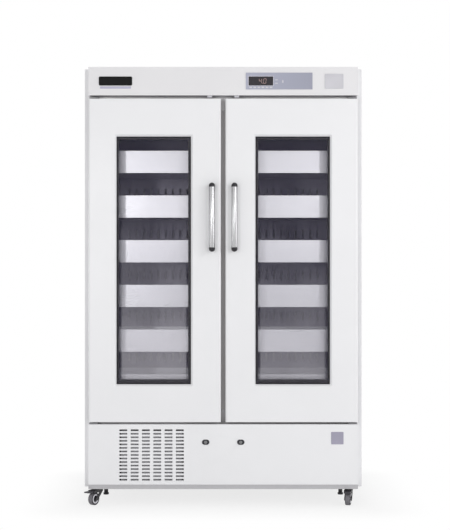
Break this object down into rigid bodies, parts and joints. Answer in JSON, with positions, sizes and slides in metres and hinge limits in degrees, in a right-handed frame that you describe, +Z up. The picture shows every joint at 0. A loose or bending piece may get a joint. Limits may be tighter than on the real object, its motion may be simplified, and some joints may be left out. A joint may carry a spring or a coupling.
{
  "type": "blood bank refrigerator",
  "caption": "Upright two-door blood bank refrigerator on casters, with glazed doors, bar handles, sliding steel drawers, a control header and a slotted lower panel.",
  "frame": {"origin": "on the floor, under the middle of the object's bounding box", "axes": "+Z up, -Y towards the front where the doors are, +X to the viewer's right"},
  "size_m": [1.246, 0.805, 1.954],
  "materials": {
    "white_paint": "satin",
    "galvanised": "satin",
    "foam": "matte",
    "stainless": "satin",
    "dark_steel": "satin",
    "plinth_grey": "satin",
    "panel_plastic": "matte",
    "display": "gloss",
    "pale_plastic": "matte",
    "black_plastic": "satin",
    "seal_rubber": "matte",
    "glass": "gloss",
    "handle_steel": "satin",
    "lock_chrome": "polished",
    "coil_copper": "satin",
    "compressor_black": "satin",
    "fan_plastic": "matte",
    "caster_steel": "satin",
    "caster_rubber": "matte",
    "pedal_grey": "matte"
  },
  "bodies": {
    "cabinet": {"outer_shell": "white_paint", "back_panel": "galvanised", "foam_insulation": "foam", "inner_liner": "stainless", "centre_mullion": "dark_steel", "base_tray": "plinth_grey", "lower_panel": "white_paint", "header_panel": "white_paint", "control_panel": "panel_plastic", "display_lens": "display", "door_switches": "pale_plastic", "hinge_plates": "dark_steel", "lock_housings": "dark_steel", "drawer_rails": "stainless", "air_duct": "stainless", "evaporator": "coil_copper", "condenser": "dark_steel", "compressor": "compressor_black", "drain_pan": "pale_plastic", "power_inlet": "black_plastic"},
    "left_door": {"left_door_skin": "white_paint", "left_door_core": "pale_plastic", "left_door_glass": "glass", "left_door_border": "black_plastic", "left_door_seal": "seal_rubber", "left_door_handle": "handle_steel"},
    "right_door": {"right_door_skin": "white_paint", "right_door_core": "pale_plastic", "right_door_glass": "glass", "right_door_border": "black_plastic", "right_door_seal": "seal_rubber", "right_door_handle": "handle_steel"},
    "left_drawer_1": {"left_drawer_1": "stainless"},
    "left_drawer_2": {"left_drawer_2": "stainless"},
    "left_drawer_3": {"left_drawer_3": "stainless"},
    "left_drawer_4": {"left_drawer_4": "stainless"},
    "left_drawer_5": {"left_drawer_5": "stainless"},
    "left_drawer_6": {"left_drawer_6": "stainless"},
    "right_drawer_1": {"right_drawer_1": "stainless"},
    "right_drawer_2": {"right_drawer_2": "stainless"},
    "right_drawer_3": {"right_drawer_3": "stainless"},
    "right_drawer_4": {"right_drawer_4": "stainless"},
    "right_drawer_5": {"right_drawer_5": "stainless"},
    "right_drawer_6": {"right_drawer_6": "stainless"},
    "left_lock_plug": {"left_lock_plug": "lock_chrome"},
    "right_lock_plug": {"right_lock_plug": "lock_chrome"},
    "left_levelling_foot": {"left_levelling_foot": "black_plastic"},
    "right_levelling_foot": {"right_levelling_foot": "black_plastic"},
    "evaporator_fan": {"evaporator_fan": "fan_plastic"},
    "condenser_fan": {"condenser_fan": "fan_plastic"},
    "front_left_fork": {"front_left_fork": "caster_steel"},
    "front_left_wheel": {"front_left_wheel": "caster_rubber"},
    "front_left_pedal": {"front_left_pedal": "pedal_grey"},
    "front_right_fork": {"front_right_fork": "caster_steel"},
    "front_right_wheel": {"front_right_wheel": "caster_rubber"},
    "front_right_pedal": {"front_right_pedal": "pedal_grey"},
    "rear_left_fork": {"rear_left_fork": "caster_steel"},
    "rear_left_wheel": {"rear_left_wheel": "caster_rubber"},
    "rear_right_fork": {"rear_right_fork": "caster_steel"},
    "rear_right_wheel": {"rear_right_wheel": "caster_rubber"}
  },
  "joints": [
    {"name": "left_door_swing", "type": "hinge", "parent": "cabinet", "child": "left_door", "pos_m": [-0.588, -0.3295, 1.0935], "axis": [0, 0, -1], "range_deg": [0, 135]},
    {"name": "right_door_swing", "type": "hinge", "parent": "cabinet", "child": "right_door", "pos_m": [0.588, -0.3295, 1.0935], "axis": [0, 0, 1], "range_deg": [0, 135]},
    {"name": "left_drawer_1_slide", "type": "slide", "parent": "cabinet", "child": "left_drawer_1", "axis": [0, -1, 0], "range_m": [0, 0.3]},
    {"name": "left_drawer_2_slide", "type": "slide", "parent": "cabinet", "child": "left_drawer_2", "axis": [0, -1, 0], "range_m": [0, 0.3]},
    {"name": "left_drawer_3_slide", "type": "slide", "parent": "cabinet", "child": "left_drawer_3", "axis": [0, -1, 0], "range_m": [0, 0.3]},
    {"name": "left_drawer_4_slide", "type": "slide", "parent": "cabinet", "child": "left_drawer_4", "axis": [0, -1, 0], "range_m": [0, 0.3]},
    {"name": "left_drawer_5_slide", "type": "slide", "parent": "cabinet", "child": "left_drawer_5", "axis": [0, -1, 0], "range_m": [0, 0.3]},
    {"name": "left_drawer_6_slide", "type": "slide", "parent": "cabinet", "child": "left_drawer_6", "axis": [0, -1, 0], "range_m": [0, 0.3]},
    {"name": "right_drawer_1_slide", "type": "slide", "parent": "cabinet", "child": "right_drawer_1", "axis": [0, -1, 0], "range_m": [0, 0.3]},
    {"name": "right_drawer_2_slide", "type": "slide", "parent": "cabinet", "child": "right_drawer_2", "axis": [0, -1, 0], "range_m": [0, 0.3]},
    {"name": "right_drawer_3_slide", "type": "slide", "parent": "cabinet", "child": "right_drawer_3", "axis": [0, -1, 0], "range_m": [0, 0.3]},
    {"name": "right_drawer_4_slide", "type": "slide", "parent": "cabinet", "child": "right_drawer_4", "axis": [0, -1, 0], "range_m": [0, 0.3]},
    {"name": "right_drawer_5_slide", "type": "slide", "parent": "cabinet", "child": "right_drawer_5", "axis": [0, -1, 0], "range_m": [0, 0.3]},
    {"name": "right_drawer_6_slide", "type": "slide", "parent": "cabinet", "child": "right_drawer_6", "axis": [0, -1, 0], "range_m": [0, 0.3]},
    {"name": "left_lock_turn", "type": "hinge", "parent": "cabinet", "child": "left_lock_plug", "pos_m": [-0.078, -0.3545, 0.285], "axis": [0, 1, 0], "range_deg": [0, 90]},
    {"name": "right_lock_turn", "type": "hinge", "parent": "cabinet", "child": "right_lock_plug", "pos_m": [0.078, -0.3545, 0.285], "axis": [0, -1, 0], "range_deg": [0, 90]},
    {"name": "left_foot_screw", "type": "slide", "parent": "cabinet", "child": "left_levelling_foot", "axis": [0, 0, 1], "range_m": [-0.026, 0]},
    {"name": "right_foot_screw", "type": "slide", "parent": "cabinet", "child": "right_levelling_foot", "axis": [0, 0, 1], "range_m": [-0.026, 0]},
    {"name": "evaporator_fan_spin", "type": "hinge", "parent": "cabinet", "child": "evaporator_fan", "pos_m": [0, 0.2865, 1.662], "axis": [0, 1, 0], "continuous": true},
    {"name": "condenser_fan_spin", "type": "hinge", "parent": "cabinet", "child": "condenser_fan", "pos_m": [-0.3185, -0.1835, 0.22], "axis": [0, 1, 0], "continuous": true},
    {"name": "front_left_swivel", "type": "hinge", "parent": "cabinet", "child": "front_left_fork", "pos_m": [-0.564, -0.2995, 0.076], "axis": [0, 0, 1], "continuous": true},
    {"name": "front_left_roll", "type": "hinge", "parent": "front_left_fork", "child": "front_left_wheel", "pos_m": [-0.57884, -0.32325, 0.028], "axis": [0.848, -0.5299, 0], "continuous": true},
    {"name": "front_left_brake", "type": "hinge", "parent": "front_left_fork", "child": "front_left_pedal", "pos_m": [-0.58255, -0.32918, 0.0627], "axis": [0.848, -0.5299, 0], "range_deg": [0, 10]},
    {"name": "front_right_swivel", "type": "hinge", "parent": "cabinet", "child": "front_right_fork", "pos_m": [0.564, -0.2995, 0.076], "axis": [0, 0, 1], "continuous": true},
    {"name": "front_right_roll", "type": "hinge", "parent": "front_right_fork", "child": "front_right_wheel", "pos_m": [0.55818, -0.32689, 0.028], "axis": [0.9781, -0.2079, 0], "continuous": true},
    {"name": "front_right_brake", "type": "hinge", "parent": "front_right_fork", "child": "front_right_pedal", "pos_m": [0.55672, -0.33374, 0.0627], "axis": [0.9781, -0.2079, 0], "range_deg": [0, 10]},
    {"name": "rear_left_swivel", "type": "hinge", "parent": "cabinet", "child": "rear_left_fork", "pos_m": [-0.564, 0.3025, 0.076], "axis": [0, 0, 1], "continuous": true},
    {"name": "rear_left_roll", "type": "hinge", "parent": "rear_left_fork", "child": "rear_left_wheel", "pos_m": [-0.57715, 0.27778, 0.028], "axis": [0.8829, -0.4695, 0], "continuous": true},
    {"name": "rear_right_swivel", "type": "hinge", "parent": "cabinet", "child": "rear_right_fork", "pos_m": [0.564, 0.3025, 0.076], "axis": [0, 0, 1], "continuous": true},
    {"name": "rear_right_roll", "type": "hinge", "parent": "rear_right_fork", "child": "rear_right_wheel", "pos_m": [0.55085, 0.27778, 0.028], "axis": [0.8829, -0.4695, 0], "continuous": true}
  ],
  "couplings": [
    {"joint": "left_drawer_1_slide", "follows": "left_door_swing", "m_per_rad": 0.12732},
    {"joint": "left_drawer_2_slide", "follows": "left_door_swing", "m_per_rad": 0.12732},
    {"joint": "left_drawer_3_slide", "follows": "left_door_swing", "m_per_rad": 0.12732},
    {"joint": "left_drawer_4_slide", "follows": "left_door_swing", "m_per_rad": 0.12732},
    {"joint": "left_drawer_5_slide", "follows": "left_door_swing", "m_per_rad": 0.12732},
    {"joint": "left_drawer_6_slide", "follows": "left_door_swing", "m_per_rad": 0.12732},
    {"joint": "right_drawer_1_slide", "follows": "right_door_swing", "m_per_rad": 0.12732},
    {"joint": "right_drawer_2_slide", "follows": "right_door_swing", "m_per_rad": 0.12732},
    {"joint": "right_drawer_3_slide", "follows": "right_door_swing", "m_per_rad": 0.12732},
    {"joint": "right_drawer_4_slide", "follows": "right_door_swing", "m_per_rad": 0.12732},
    {"joint": "right_drawer_5_slide", "follows": "right_door_swing", "m_per_rad": 0.12732},
    {"joint": "right_drawer_6_slide", "follows": "right_door_swing", "m_per_rad": 0.12732}
  ]
}
